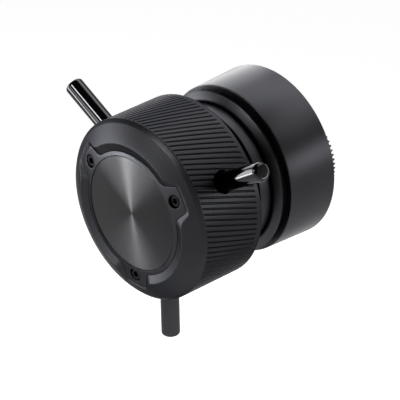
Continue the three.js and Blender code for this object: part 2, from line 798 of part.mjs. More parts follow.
function housing() {
  const wallFront = front(-housingFrontWall);
  const shell = turned([
    [coverRadius, housingRear],
    [housingRearRadius - housingEdge, housingRear],
    [housingRadius(housingRear + housingEdge), housingRear + housingEdge],
    [housingRadius(housingFront - housingEdge), housingFront - housingEdge],
    [housingFrontRadius - housingEdge, housingFront],
    [carrierSpigot + seatGap, housingFront],
    [carrierSpigot + seatGap, wallFront],
    [cavityRadius, wallFront],
    [cavityRadius, cavityRear],
    [coverRadius, cavityRear],
  ], fineFacets);
  const post = disc(screwPostRadius, cavityRear, wallFront + overrun, smallFacets);
  const screwEnd = housingRear + rearScrewLength + seatGap;
  const hole = disc(rearScrewShank + seatGap, cavityRear - overrun, screwEnd, smallFacets);
  const posts = postAngles.map((angle) => onCircle(post, screwPostCircle, angle));
  return cut(join([shell, ...posts]), postAngles.map((angle) => onCircle(hole, screwPostCircle, angle)));
}
place(fixed, 'housing', housing(), satinAnodised);

place(fixed, 'cover_gasket', ring(cavityRadius + seatGap, coverRadius - seatGap, coverSeat, cavityRear,
  midFacets), rubberBlack);

// Rounded slot outline of a USB-C socket, grown outwards
function slotShape(width, height, grow) {
  const half = width / 2 + grow;
  const radius = height / 2 + grow;
  const shape = new THREE.Shape();
  shape.moveTo(radius - half, -radius);
  shape.lineTo(half - radius, -radius);
  shape.absarc(half - radius, 0, radius, -Math.PI / 2, Math.PI / 2, false);
  shape.lineTo(radius - half, radius);
  shape.absarc(radius - half, 0, radius, Math.PI / 2, 1.5 * Math.PI, false);
  return shape;
}

// Rear cover with the stem that carries the rosette
function rearCover() {
  const plate = disc(coverRadius - seatGap, housingRear, coverSeat, fineFacets);
  const fillet = Array.from({ length: stemFlareFacets + 1 }, (_, i) => {
    const t = (i * Math.PI) / 2 / stemFlareFacets;
    return [stemRadius + stemFlare * (1 - Math.cos(t)), housingRear - stemFlare * (1 - Math.sin(t))];
  });
  const stem = turned([
    [0, rosetteThickness], [stemRadius, rosetteThickness], ...fillet,
    [stemRadius + stemFlare, coverSeat], [0, coverSeat],
  ], midFacets);
  const drop = -axisRise;
  const insertHole = disc(insertRadius + seatGap, rosetteThickness - overrun,
    rosetteLandDrop + insertLength + seatGap, smallFacets);
  const rosetteHole = disc(rosetteScrewShank + seatGap, rosetteThickness - overrun,
    rosetteLandDrop + rosetteScrewLength + seatGap, smallFacets);
  const socketHole = pushed(slotShape(socketWidth, socketHeight, seatGap), housingRear - overrun, coverSeat + overrun);
  const screwHole = countersunkHole(rearScrewHead, rearScrewShank, rearScrewSink, rearScrewLength, housingRear);
  return cut(join([plate, moved(stem, 0, drop)]), [
    moved(insertHole, 0, drop),
    ...spread(3, 90).map((angle) => moved(onCircle(rosetteHole, rosetteScrewCircle, angle), 0, drop)),
    ...[-1, 1].map((side) => moved(socketHole, side * socketAcross, socketRise)),
    ...postAngles.map((angle) => onCircle(screwHole, screwPostCircle, angle)),
  ]);
}
place(fixed, 'rear_cover', rearCover(), blackAnodised);

postAngles.forEach((angle, i) => {
  const screw = countersunk(rearScrewHead, rearScrewShank, rearScrewSink, rearScrewLength, housingRear);
  place(fixed, `rear_cover_screw_${i + 1}`, onCircle(screw, screwPostCircle, angle), blackSteel);
});

// Rosette: radial teeth that all run towards the centre, round an inner land
function rosette() {
  const blank = turned([
    [insertRadius + seatGap, rosetteLandDrop], [rosetteToothInnerRadius, rosetteLandDrop],
    [rosetteToothInnerRadius, 0], [rosetteRadius, 0], [rosetteRadius, rosetteThickness],
    [insertRadius + seatGap, rosetteThickness],
  ], rosetteToothCount);
  const pitch = turn / rosetteToothCount;
  const tips = [];
  const outer = rosetteRadius + overrun;
  const place3 = (radius, angle, station) => tips.push(radius * Math.cos(angle), -station, radius * Math.sin(angle));
  const depthAt = (radius) => (rosetteToothDepth * radius) / rosetteRadius;
  const index = [];
  for (let i = 0; i < rosetteToothCount; i++) {
    const base = i * 4;
    place3(0, 0, 0);
    place3(outer, i * pitch, 0);
    place3(outer, (i + 0.5) * pitch, depthAt(outer));
    place3(outer, i * pitch, -overrun);
    const next = ((i + 1) % rosetteToothCount) * 4;
    index.push(base, base + 1, base + 2, base, base + 2, next + 1);
    index.push(base + 1, base + 3, base + 2, base + 2, base + 3, next + 3, base + 2, next + 3, next + 1);
  }
  const cap = tips.length / 3;
  place3(0, 0, -overrun);
  for (let i = 0; i < rosetteToothCount; i++) {
    index.push(cap, ((i + 1) % rosetteToothCount) * 4 + 3, i * 4 + 3);
  }
  const cutter = new THREE.BufferGeometry();
  cutter.setAttribute('position', new THREE.Float32BufferAttribute(tips, 3));
  cutter.setIndex(index);
  const hole = countersunkHole(rosetteScrewHead, rosetteScrewShank, rosetteScrewSink, rosetteScrewLength,
    rosetteLandDrop);
  return cut(blank, [cutter, ...spread(3, 90).map((angle) => onCircle(hole, rosetteScrewCircle, angle))]);
}
const drop = -axisRise;
place(fixed, 'rosette', moved(rosette(), 0, drop), bearingSteel);
place(fixed, 'rosette_insert', moved(ring(insertBore, insertRadius, rosetteLandDrop,
  rosetteLandDrop + insertLength, smallFacets), 0, drop), brass);
spread(3, 90).forEach((angle, i) => {
  const screw = countersunk(rosetteScrewHead, rosetteScrewShank, rosetteScrewSink, rosetteScrewLength,
    rosetteLandDrop);
  place(fixed, `rosette_screw_${i + 1}`, moved(onCircle(screw, rosetteScrewCircle, angle), 0, drop), blackSteel);
});

// Board and what is on it
const standoffAngles = spread(3, standoffAngle);

function sensorBoard() {
  const notch = disc(screwPostRadius + seatGap, boardRear - overrun, boardFront + overrun, smallFacets);
  const hole = disc(boardScrewShank + seatGap, boardRear - overrun, boardFront + overrun, smallFacets);
  return cut(disc(boardRadius, boardRear, boardFront, midFacets), [
    ...postAngles.map((angle) => onCircle(notch, screwPostCircle, angle)),
    ...standoffAngles.map((angle) => onCircle(hole, standoffCircle, angle)),
  ]);
}
place(fixed, 'sensor_board', sensorBoard(), boardGreen);

function chip(size) {
  const geometry = new THREE.BoxGeometry(size, chipThickness, size);
  return weld(geometry.translate(0, -(boardFront + chipThickness / 2), 0));
}
place(fixed, 'hall_sensor', chip(chipSize), chipBlack);
place(fixed, 'controller_chip', moved(chip(controllerSize), controllerInset - boardRadius, 0), chipBlack);

standoffAngles.forEach((angle, i) => {
  const post = disc(standoffRadius, boardFront, front(-housingFrontWall), smallFacets);
  const screwTip = boardRear + boardScrewLength;
  const hole = disc(boardScrewShank + seatGap, boardFront - overrun, screwTip + seatGap, smallFacets);
  const screw = turned([
    [0, boardRear - boardScrewHeadHeight], [boardScrewHead, boardRear - boardScrewHeadHeight],
    [boardScrewHead, boardRear], [boardScrewShank, boardRear], [boardScrewShank, screwTip], [0, screwTip],
  ], smallFacets);
  place(fixed, `board_standoff_${i + 1}`, onCircle(cut(post, [hole]), standoffCircle, angle), brass);
  place(fixed, `board_screw_${i + 1}`, onCircle(screw, standoffCircle, angle), blackSteel);
});

// USB-C sockets, upright on the board, with their mouths in the rear cover
function usbSocket() {
  const mouth = housingRear + socketSet;
  const shell = pushed(slotShape(socketWidth, socketHeight, 0), mouth, boardRear);
  const inside = pushed(slotShape(socketWidth, socketHeight, -socketWall), mouth - overrun, boardRear - socketFloor);
  const tongueLength = boardRear - mouth - socketFloor;
  const tongue = new THREE.BoxGeometry(socketTongueWidth, tongueLength, socketTongueThickness);
  tongue.translate(0, -(mouth + overrun + tongueLength / 2), 0);
  return surface(solid(cut(shell, [inside])).add(solid(tongue)));
}
place(fixed, 'usb_socket_left', moved(usbSocket(), socketAcross, socketRise), bearingSteel);
place(fixed, 'usb_socket_right', moved(usbSocket(), -socketAcross, socketRise), bearingSteel);

// The knob's axis lies above the rosette's centre
const focusDemand = new THREE.Group();
knob.rotation.y = -knobTurnAtRest * degree;
focusDemand.add(fixed, knob);
focusDemand.position.z = axisRise;

export default focusDemand;
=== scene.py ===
import json
import math
import bmesh
import bpy
import numpy as np
from mathutils import Matrix, Vector
from mathutils.geometry import delaunay_2d_cdt


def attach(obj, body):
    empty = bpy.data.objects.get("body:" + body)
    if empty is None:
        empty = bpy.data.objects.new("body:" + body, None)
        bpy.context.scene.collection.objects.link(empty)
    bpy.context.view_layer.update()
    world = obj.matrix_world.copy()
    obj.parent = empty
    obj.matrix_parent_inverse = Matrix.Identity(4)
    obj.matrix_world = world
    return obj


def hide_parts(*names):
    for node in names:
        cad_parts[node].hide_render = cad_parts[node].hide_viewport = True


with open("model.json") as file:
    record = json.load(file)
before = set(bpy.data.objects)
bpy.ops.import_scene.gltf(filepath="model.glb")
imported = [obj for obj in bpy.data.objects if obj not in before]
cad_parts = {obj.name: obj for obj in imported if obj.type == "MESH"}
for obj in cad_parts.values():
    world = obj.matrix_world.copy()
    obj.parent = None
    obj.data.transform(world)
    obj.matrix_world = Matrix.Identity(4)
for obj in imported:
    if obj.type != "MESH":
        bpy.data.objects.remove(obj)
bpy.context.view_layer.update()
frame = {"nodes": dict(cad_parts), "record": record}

# Sizes in millimetres. A station is the distance forward (-Y) of the rosette's tooth tips, and a radius
# is taken from the knob's axis, which lies above the rosette's centre.
AXIS_RISE = 7.0
HOUSING_REAR = 16.0
HOUSING_FRONT = 35.9
GAP = 0.3


def front(reach):
    """Station of a point that lies so far in front of the housing."""
    return HOUSING_FRONT + reach


# Camera: read from the photograph
FOCAL_PIXELS = 3000.0
FRAME_PIXELS = 400.0
SENSOR = 36.0
SIGHT_UNIT = 30.0
RIGHT = Vector((0.6887, 0.7250, 0.0))
UP = Vector((-0.3570, 0.3392, 0.8704))
BACK = Vector((0.6310, -0.5994, 0.4924))
CAMERA_OFFSET = (-0.334, -0.361, 34.111)

# Knob
KNOB_TURN = math.radians(1.7)
KNOB_R = 32.2
KNOB_REAR = front(15.9)
BARREL = 25.4
BARREL_FRONT = KNOB_REAR + BARREL
SHOULDER = 1.2
FACE_R = KNOB_R - SHOULDER
FACE_RISE = 3.3
FACE_POWER = 1.12
CREST_R = 24.9
CREST = BARREL_FRONT + SHOULDER + FACE_RISE
RING_TOP = CREST - 0.8
COVER_BASE = RING_TOP - 3.0
RIBS = 102
RIB_DEPTH = 0.43
RIB_LEAN = 0.345 / KNOB_R
BAND_END = KNOB_REAR + 1.9
RUN_OUT = 0.7
SHELL_BORE = 29.6
WINDOW_R = 19.4
HUB_FRONT = front(38.6)

# Cover plate
EARS = [math.radians(a) + KNOB_TURN for a in (30, 150, 270)]
RING_R = 21.9
EAR_REACH = 27.3
EAR_ROOT = 6.1
EAR_TIP = 4.6
EAR_FILLET = 2.0
EAR_CORNER = 1.0
EAR_DROP = 1.05
POCKET_GAP = 0.12
DISC_R = 20.2
SEAT_R = DISC_R + 0.2
DISC_THICK = 1.0
SCREW_CIRCLE = 23.7
SCREW_HEAD_R = 1.95
SCREW_HEAD_H = 1.7
COUNTERBORE_R = 2.3

# Outline of the recess where it meets the shell's face
MOUTH_REACH = 28.6
MOUTH_ROOT = 7.5
MOUTH_TIP = 5.7
MOUTH_FILLET = 2.2
MOUTH_CORNER = 1.5

# Rods
ROD_R = 3.3
ROD_ROOT = 21.5
ROD_TIP = 53.2
ROD_REACH = 29.1
ROD_HOLE_R = 4.05

AROUND = 256


# Mesh code

def place(points, drop=0.0):
    """Millimetres (x, station, z about the knob's axis) to metres in the row frame."""
    p = np.asarray(points, float).reshape(-1, 3)
    return np.stack([p[:, 0], -p[:, 1], p[:, 2] + AXIS_RISE - drop], 1) * 0.001


class Build:
    """Collects rings of points and the faces between them."""

    def __init__(self):
        self.points = []
        self.faces = []
        self.count = 0

    def ring(self, points):
        points = np.asarray(points, float).reshape(-1, 3)
        first = self.count
        self.points.append(points)
        self.count += len(points)
        return list(range(first, self.count))

    def circle(self, radius, station, count=AROUND, start=0.0, centre=(0.0, 0.0)):
        a = start + np.arange(count) * 2 * math.pi / count
        return self.ring(np.stack([centre[0] + radius * np.cos(a), np.full(count, station),
                                   centre[1] + radius * np.sin(a)], 1))

    def bridge(self, low, high):
        """Faces between two closed rings, zipped together where their counts differ."""
        n, m = len(low), len(high)
        if n == m:
            self.faces += [(low[i], high[i], high[(i + 1) % n], low[(i + 1) % n]) for i in range(n)]
            return
        i = j = 0
        while i < n or j < m:
            if i < n and (i + 1) * m <= (j + 1) * n:
                self.faces.append((low[i % n], high[j % m], low[(i + 1) % n]))
                i += 1
            else:
                self.faces.append((low[i % n], high[j % m], high[(j + 1) % m]))
                j += 1

    def bridge_all(self, rings):
        for low, high in zip(rings, rings[1:]):
            self.bridge(low, high)

    def turned(self, rings):
        """Faces of a turned solid. A ring of one point lies on the axis and closes it."""
        for low, high in zip(rings, rings[1:] + rings[:1]):
            if len(low) > 1 and len(high) > 1:
                self.bridge(low, high)
            elif len(low) > 1:
                self.faces += [(low[i], high[0], low[(i + 1) % len(low)]) for i in range(len(low))]
            elif len(high) > 1:
                self.faces += [(low[0], high[i], high[(i + 1) % len(high)]) for i in range(len(high))]

    def fan(self, ring, point, reverse=False):
        tip = self.ring([point])[0]
        n = len(ring)
        for i in range(n):
            a, b = ring[i], ring[(i + 1) % n]
            self.faces.append((b, a, tip) if reverse else (a, b, tip))

    def sheet(self, loops, height, spacing, reverse=False):
        """A triangulated sheet inside the first loop and outside the others, at height(x, z)."""
        everything = np.concatenate(self.points)
        flat, edges, index = [], [], []
        for loop in loops:
            first = len(flat)
            flat += [tuple(everything[i][[0, 2]]) for i in loop]
            index += list(loop)
            edges += [(first + i, first + (i + 1) % len(loop)) for i in range(len(loop))]
        outlines = [everything[loop][:, [0, 2]] for loop in loops]
        low, high = outlines[0].min(0), outlines[0].max(0)
        row = spacing * math.sqrt(3) / 2
        grid = []
        for k, z in enumerate(np.arange(low[1], high[1], row)):
            x = np.arange(low[0] + (k % 2) * spacing / 2, high[0], spacing)
            grid.append(np.stack([x, np.full(len(x), z)], 1))
        grid = np.concatenate(grid)
        keep = inside(grid, outlines)
        for outline in outlines:
            keep &= distance(grid, outline) > spacing * 0.6
        grid = grid[keep]
        flat += [tuple(p) for p in grid]
        ring = self.ring(np.stack([grid[:, 0], height(grid[:, 0], grid[:, 1]), grid[:, 1]], 1)) if len(grid) else []
        index += ring
        made = delaunay_2d_cdt([Vector(p) for p in flat], edges, [], 0, 1e-7)
        where = np.array([tuple(v) for v in made[0]])
        source = [index[ids[0]] for ids in made[3]]
        triangles = np.array(made[2])
        middle = where[triangles].mean(1)
        for triangle in triangles[inside(middle, outlines)]:
            corner = tuple(source[i] for i in triangle)
            self.faces.append(corner[::-1] if reverse else corner)

    def object(self, name, drop=0.0, sharp=32):
        mesh = bpy.data.meshes.new(name)
        points = place(np.concatenate(self.points), drop)
        mesh.from_pydata([tuple(p) for p in points], [], self.faces)
        mesh.validate()
        return finish_mesh(name, mesh, sharp)


def inside(points, outlines):
    """True for points in the first outline and in none of the others."""
    result = np.zeros(len(points), bool)
    for outline in outlines:
        a, b = outline, np.roll(outline, -1, 0)
        crossing = np.zeros(len(points), bool)
        for (ax, az), (bx, bz) in zip(a, b):
            span = (az > points[:, 1]) != (bz > points[:, 1])
            if span.any():
                at = ax + (points[:, 1] - az) * (bx - ax) / ((bz - az) or 1e-12)
                crossing ^= span & (points[:, 0] < at)
        result ^= crossing
    return result


def distance(points, outline):
    """Distance from each point to the nearest corner of a finely divided outline."""
    best = np.full(len(points), 1e9)
    for x, z in outline:
        best = np.minimum(best, (points[:, 0] - x) ** 2 + (points[:, 1] - z) ** 2)
    return np.sqrt(best)


def finish_mesh(name, mesh, sharp):
    work = bmesh.new()
    work.from_mesh(mesh)
    bmesh.ops.remove_doubles(work, verts=work.verts, dist=1e-7)
    bmesh.ops.dissolve_degenerate(work, edges=work.edges, dist=1e-7)
    bmesh.ops.recalc_face_normals(work, faces=work.faces)
    work.to_mesh(mesh)
    work.free()
    mesh.shade_smooth()
    mesh.set_sharp_from_angle(angle=math.radians(sharp))
    piece = bpy.data.objects.new(name, mesh)
    bpy.context.scene.collection.objects.link(piece)
    return piece


def rounded(profile, steps=4):
    """Rounds the corners of a closed profile. Each corner is (radius, station, rounding)."""
    result = []
    n = len(profile)
    for i, corner in enumerate(profile):
        here = np.array(corner[:2], float)
        amount = corner[2] if len(corner) > 2 else 0.0
        if not amount:
            result.append(tuple(here))
            continue
        before = np.array(profile[i - 1][:2], float) - here
        after = np.array(profile[(i + 1) % n][:2], float) - here
        amount = min(amount, 0.48 * np.linalg.norm(before), 0.48 * np.linalg.norm(after))
        start = here + before / np.linalg.norm(before) * amount
        end = here + after / np.linalg.norm(after) * amount
        for k in range(steps + 1):
            t = k / steps
            result.append(tuple((1 - t) ** 2 * start + 2 * t * (1 - t) * here + t ** 2 * end))
    return result


def lathe(name, profile, around=AROUND, centre=(0.0, 0.0), drop=0.0, sharp=32, steps=4):
    """Turns a closed profile about an axis through centre. Corners on the axis close it."""
    build = Build()
    rings = []
    for radius, station in rounded(profile, steps):
        rings.append(build.ring([(centre[0], station, centre[1])]) if radius < 1e-9
                     else build.circle(radius, station, around, 0.0, centre))
    build.turned(rings)
    return build.object(name, drop, sharp)


def cut(piece, cutters, sharp=32):
    """Subtracts the cutters, which are then deleted."""
    for cutter in cutters:
        modifier = piece.modifiers.new("cut", "BOOLEAN")
        modifier.operation = "DIFFERENCE"
        modifier.solver = "EXACT"
        modifier.object = cutter
    bpy.context.view_layer.update()
    graph = bpy.context.evaluated_depsgraph_get()
    mesh = bpy.data.meshes.new_from_object(piece.evaluated_get(graph))
    piece.modifiers.clear()
    old = piece.data
    piece.data = mesh
    bpy.data.meshes.remove(old)
    mesh.name = piece.name
    for cutter in cutters:
        bpy.data.meshes.remove(cutter.data)
    mesh.shade_smooth()
    mesh.set_sharp_from_angle(angle=math.radians(sharp))
    return piece


def radial(name, profile, angle, around):
    """A lathe piece whose stations run outwards from the knob's axis at the rods' station."""
    build = Build()
    rings = []
    outward = np.array([math.cos(angle), 0, math.sin(angle)])
    across = np.array([-math.sin(angle), 0, math.cos(angle)])
    along = np.array([0, 1.0, 0])
    base = np.array([0, front(ROD_REACH), 0])
    turn = np.arange(around) * 2 * math.pi / around
    for radius, way in rounded(profile, 6):
        if radius < 1e-9:
            rings.append(build.ring([base + outward * way]))
        else:
            rings.append(build.ring(base + outward * way + radius * (np.outer(np.cos(turn), across)
                                                                     + np.outer(np.sin(turn), along))))
    build.turned(rings)
    return build.object(name)


# Outlines

def polar(radius, angle):
    return np.array([radius * math.cos(angle), radius * math.sin(angle)])


def bezier(a, b, c, steps):
    t = np.linspace(0, 1, steps + 1)[:, None]
    return list((1 - t) ** 2 * a + 2 * t * (1 - t) * b + t ** 2 * c)


def arc(radius, start, end, step=0.35, steps=None):
    steps = steps or max(2, int(abs(end - start) * radius / step))
    return [polar(radius, a) for a in np.linspace(start, end, steps + 1)]


def ear_outline(ring, reach, root, tip, fillet, corner):
    """A ring's outline with the three ears, going round from +X to +Z."""
    points = []
    for k, middle in enumerate(EARS):
        root_sweep, tip_sweep = math.asin(root / ring), math.asin(tip / reach)
        turn, bend = fillet / ring, corner / reach
        p = [polar(ring, middle - root_sweep), polar(reach, middle - tip_sweep),
             polar(reach, middle + tip_sweep), polar(ring, middle + root_sweep)]
        unit = [(b - a) / np.linalg.norm(b - a) for a, b in ((p[0], p[1]), (p[3], p[2]))]
        flank = [p[0] + unit[0] * fillet, p[1] - unit[0] * corner, p[2] - unit[1] * corner, p[3] + unit[1] * fillet]
        points += bezier(polar(ring, middle - root_sweep - turn), p[0], flank[0], 10)
        points += [flank[0] + (flank[1] - flank[0]) * t for t in (0.33, 0.67)]
        points += bezier(flank[1], p[1], polar(reach, middle - tip_sweep + bend), 8)
        points += arc(reach, middle - tip_sweep + bend, middle + tip_sweep - bend, steps=20)[1:-1]
        points += bezier(polar(reach, middle + tip_sweep - bend), p[2], flank[2], 8)
        points += [flank[2] + (flank[3] - flank[2]) * t for t in (0.33, 0.67)]
        points += bezier(flank[3], p[3], polar(ring, middle + root_sweep + turn), 10)
        following = EARS[(k + 1) % 3] + (2 * math.pi if k == 2 else 0)
        points += arc(ring, middle + root_sweep + turn, following - root_sweep - turn, steps=80)[1:-1]
    return np.array(points)


def grown(outline, amount):
    """The outline moved outwards along its own normals."""
    ahead, behind = np.roll(outline, -1, 0), np.roll(outline, 1, 0)
    tangent = ahead - behind
    tangent /= np.linalg.norm(tangent, axis=1)[:, None]
    return outline + amount * np.stack([tangent[:, 1], -tangent[:, 0]], 1)


def at_height(outline, height):
    values = height(outline[:, 0], outline[:, 1]) if callable(height) else np.full(len(outline), height)
    return np.stack([outline[:, 0], values, outline[:, 1]], 1)


def edge_rings(build, outline, height, size, outwards, steps=4):
    """Rings that round an edge, from the top face down to the wall at the outline."""
    rings = []
    for k in range(steps + 1):
        a = k * math.pi / 2 / steps
        loop = grown(outline, (size if outwards else -size) * (1 - math.sin(a)))
        drop = size * (1 - math.cos(a))
        top = height(loop[:, 0], loop[:, 1]) if callable(height) else np.full(len(loop), height)
        rings.append(build.ring(np.stack([loop[:, 0], top - drop, loop[:, 1]], 1)))
    return rings


# The knob

def shell_face(x, z):
    """Station of the shell's sloping face, outside its crest."""
    way = np.clip((np.hypot(x, z) - CREST_R) / (FACE_R - CREST_R), 0, None)
    return CREST - FACE_RISE * way ** FACE_POWER


def recess_wall(build, foot, mouth):
    """The slope between the cover plate's edge and the shell's face, with a small round at its top."""
    low = at_height(foot, lambda x, z: ear_top(x, z) - 0.1)
    high = at_height(mouth, shell_face)
    outward = at_height(grown(mouth, 0.3), shell_face)
    rings = [build.ring(low + (high - low) * t) for t in (0.0, 0.05, 0.3, 0.6, 0.85, 0.95)]
    beyond = at_height(grown(mouth, 0.12), shell_face)
    rings.append(build.ring((low + (high - low) * 0.98) * 0.25 + high * 0.5 + beyond * 0.25
                            - np.array([0, 0.03, 0])))
    rings += [build.ring(beyond), build.ring(outward)]
    return rings


def rib_depth(share):
    """Depth of the groove, as a share, against the place across one rib's pitch."""
    distance_in = np.abs((share + 0.5) % 1.0 - 0.5)
    return np.clip((0.185 - distance_in) / 0.15, 0, 1) ** 0.85


RIB_PLACES = np.array([0.0, 0.03, 0.09, 0.15, 0.183, 0.2, 0.35, 0.5, 0.65, 0.8, 0.817, 0.85, 0.91, 0.97])


def grip_shell():
    build = Build()
    pitch = 2 * math.pi / RIBS
    share = np.tile(RIB_PLACES, RIBS)
    base = (np.repeat(np.arange(RIBS), len(RIB_PLACES)) + share) * pitch + pitch / 2
    shape = rib_depth(share)
    around = len(base)

    def row(radius, station):
        a = base + station * RIB_LEAN - KNOB_REAR * RIB_LEAN + KNOB_TURN
        radius = np.broadcast_to(radius, (around,))
        return build.ring(np.stack([radius * np.cos(a), np.full(around, station), radius * np.sin(a)], 1))

    rows = []
    rear = rounded([(SHELL_BORE, KNOB_REAR + 1.0), (SHELL_BORE, KNOB_REAR, 0.35), (KNOB_R, KNOB_REAR, 0.6),
                    (KNOB_R, KNOB_REAR + 2.0)], 4)
    for radius, station in rear[:-1]:
        rows.append(row(radius, station))
    grooves_end = BARREL_FRONT - 0.3
    stations = np.concatenate([
        np.linspace(KNOB_REAR + 0.9, BAND_END, 3), BAND_END + RUN_OUT * np.linspace(0.1, 1, 7),
        np.linspace(BAND_END + RUN_OUT, grooves_end - RUN_OUT, 24)[1:], grooves_end - RUN_OUT * np.linspace(0.9, 0, 8)])
    for station in stations:
        run = np.clip(min(station - BAND_END, grooves_end - station) / RUN_OUT, 0, 1)
        rows.append(row(KNOB_R - RIB_DEPTH * shape * math.sin(run * math.pi / 2), station))
    # the plain shoulder and its edge with the face
    face_start = (FACE_R - 0.35, float(shell_face(FACE_R - 0.35, 0.0)))
    shoulder = rounded([(KNOB_R, grooves_end), (KNOB_R, BARREL_FRONT, 0.3), (FACE_R, BARREL_FRONT + SHOULDER, 0.3),
                        face_start], 4)
    for radius, station in shoulder[1:-1] + [face_start]:
        rows.append(row(radius, station))
    build.bridge_all(rows)
    outline = grown(ear_outline(RING_R, EAR_REACH, EAR_ROOT, EAR_TIP, EAR_FILLET, EAR_CORNER), POCKET_GAP)
    mouth = ear_outline(CREST_R, MOUTH_REACH, MOUTH_ROOT, MOUTH_TIP, MOUTH_FILLET, MOUTH_CORNER)
    wall = recess_wall(build, outline, mouth)
    build.sheet([rows[-1], wall[-1]], shell_face, 0.55)
    floor = build.ring(at_height(outline, COVER_BASE))
    build.bridge_all(wall[::-1] + [floor])
    angles = np.arctan2(outline[:, 1], outline[:, 0])
    for radius, station in ((WINDOW_R, COVER_BASE), (WINDOW_R, HUB_FRONT), (SHELL_BORE, HUB_FRONT)):
        ring = build.ring(np.stack([radius * np.cos(angles), np.full(len(angles), station),
                                    radius * np.sin(angles)], 1))
        build.bridge(floor, ring)
        floor = ring
    # the bore, whose rings start where the last one does
    start = int(np.argmin(np.abs(np.angle(np.exp(1j * (base + KNOB_TURN - angles[0]))))))
    rear_ring = rows[0][start:] + rows[0][:start]
    build.bridge(floor, rear_ring)
    piece = build.object("knob_shell", sharp=38)
    holes = [radial("hole", [(0, SHELL_BORE - 2), (ROD_HOLE_R, SHELL_BORE - 2), (ROD_HOLE_R, KNOB_R + 2),
                             (0, KNOB_R + 2)], angle, 96) for angle in EARS]
    return cut(piece, holes, 38)


def ear_top(x, z):
    radius = np.hypot(x, z)
    return RING_TOP - EAR_DROP * (radius - RING_R) / (EAR_REACH - RING_R)


DISC_TOP = float(ear_top(SEAT_R, 0.0)) - 0.2


def cover_plate():
    build = Build()
    outline = ear_outline(RING_R, EAR_REACH, EAR_ROOT, EAR_TIP, EAR_FILLET, EAR_CORNER)
    outer = edge_rings(build, outline, ear_top, 0.16, False)
    seat = np.array(arc(SEAT_R, 0, 2 * math.pi)[:-1])
    inner = edge_rings(build, seat, ear_top, 0.1, True)
    centres = [polar(SCREW_CIRCLE, a) for a in EARS]
    floor_station = float(ear_top(SCREW_CIRCLE, 0.0)) - 0.4 - SCREW_HEAD_H
    bores, holes = [], []
    for centre in centres:
        circle = np.array(arc(COUNTERBORE_R, 0, 2 * math.pi, 0.25)[:-1])
        bore = edge_rings(build, circle + centre, ear_top, 0.1, True)
        bores.append(bore)
        low = build.ring(at_height(circle + centre, floor_station))
        hole = build.ring(at_height(circle * (1.3 / COUNTERBORE_R) + centre, floor_station))
        end = build.ring(at_height(circle * (1.3 / COUNTERBORE_R) + centre, COVER_BASE))
        build.bridge_all(bore + [low, hole, end])
        holes.append(end)
    build.sheet([outer[0], inner[0]] + [bore[0] for bore in bores], ear_top, 0.5)
    base = build.ring(at_height(outline, COVER_BASE))
    build.bridge_all(outer + [base])
    floor = build.ring(at_height(seat, DISC_TOP - DISC_THICK))
    build.bridge_all(inner + [floor])
    build.fan(floor, (0, DISC_TOP - DISC_THICK, 0))
    build.sheet([base] + holes, lambda x, z: np.full(len(x), COVER_BASE), 1.5, True)
    return build.object("cover_plate_fine", sharp=30), floor_station


def socket_screw(name, radius, height, shank, length, socket, depth, under, centre, forward=1, drop=0.0):
    """A cylinder head screw with a hexagon socket. forward is 1 where its head faces the front."""
    build = Build()
    start = 0.2
    top = under + forward * height
    profile = rounded([(shank, under - forward * length), (shank, under), (radius, under, 0.12),
                       (radius, top, 0.22), (socket * 1.16, top, 0.08), (socket * 1.16, top - forward * 0.15)], 3)
    rings = [build.circle(r, s, 48, start, centre) for r, s in profile]
    build.bridge_all(rings)
    build.fan(rings[0], (centre[0], under - forward * length, centre[1]))
    turn = start + np.arange(48) * 2 * math.pi / 48
    wave = (turn - start + math.pi / 6) % (math.pi / 3) - math.pi / 6
    flat = socket / np.cos(wave)
    for station in (top - forward * 0.2, top - forward * depth):
        ring = build.ring(np.stack([centre[0] + flat * np.cos(turn), np.full(48, station),
                                    centre[1] + flat * np.sin(turn)], 1))
        build.bridge(rings[-1], ring)
        rings.append(ring)
    build.fan(rings[-1], (centre[0], top - forward * (depth + 0.3), centre[1]))
    return build.object(name, drop, 30)


shell = grip_shell()
cover, counterbore_floor = cover_plate()
disc_piece = lathe("face_disc_fine", [(0, DISC_TOP - DISC_THICK), (DISC_R, DISC_TOP - DISC_THICK, 0.05),
                                      (DISC_R, DISC_TOP, 0.12), (0, DISC_TOP)], 256)
cover_screws = [socket_screw(f"cover_screw_fine_{i + 1}", SCREW_HEAD_R, SCREW_HEAD_H, 1.0, 9.0, 0.95, 1.0,
                             counterbore_floor, polar(SCREW_CIRCLE, a)) for i, a in enumerate(EARS)]
rods = [radial(f"finger_rod_fine_{i + 1}", [(0, ROD_ROOT), (ROD_R, ROD_ROOT, 0.3), (ROD_R, ROD_TIP, 1.3),
                                           (0, ROD_TIP)], a, 96) for i, a in enumerate(EARS)]

NECK_R = 25.2
NECK_GROOVE = 22.6
HUB_BORE = 6.3
HUB_CORE_R = 9.5
HUB_RIM_R = 29.3
HUB_RIM_BORE = 19.0
hub = lathe("knob_hub_fine", [
    (HUB_BORE, front(14.4)), (17.5, front(14.4)), (17.5, front(2.25), 0.2), (NECK_R, front(2.25), 0.25),
    (NECK_R, front(9.6), 0.35), (NECK_GROOVE, front(10.2), 0.2), (NECK_GROOVE, KNOB_REAR + 0.7, 0.3),
    (HUB_RIM_R, KNOB_REAR + 0.7, 0.4), (HUB_RIM_R, HUB_FRONT, 0.3), (HUB_RIM_BORE, HUB_FRONT, 0.3),
    (HUB_RIM_BORE, front(20), 0.5), (HUB_CORE_R, front(20), 0.5), (HUB_CORE_R, front(24), 0.3),
    (HUB_BORE, front(24), 0.2)])
hub = cut(hub, [radial("hole", [(0, ROD_ROOT - GAP), (ROD_R + GAP, ROD_ROOT - GAP), (ROD_R + GAP, 30.5), (0, 30.5)],
                       a, 64) for a in EARS])

# The fixed body

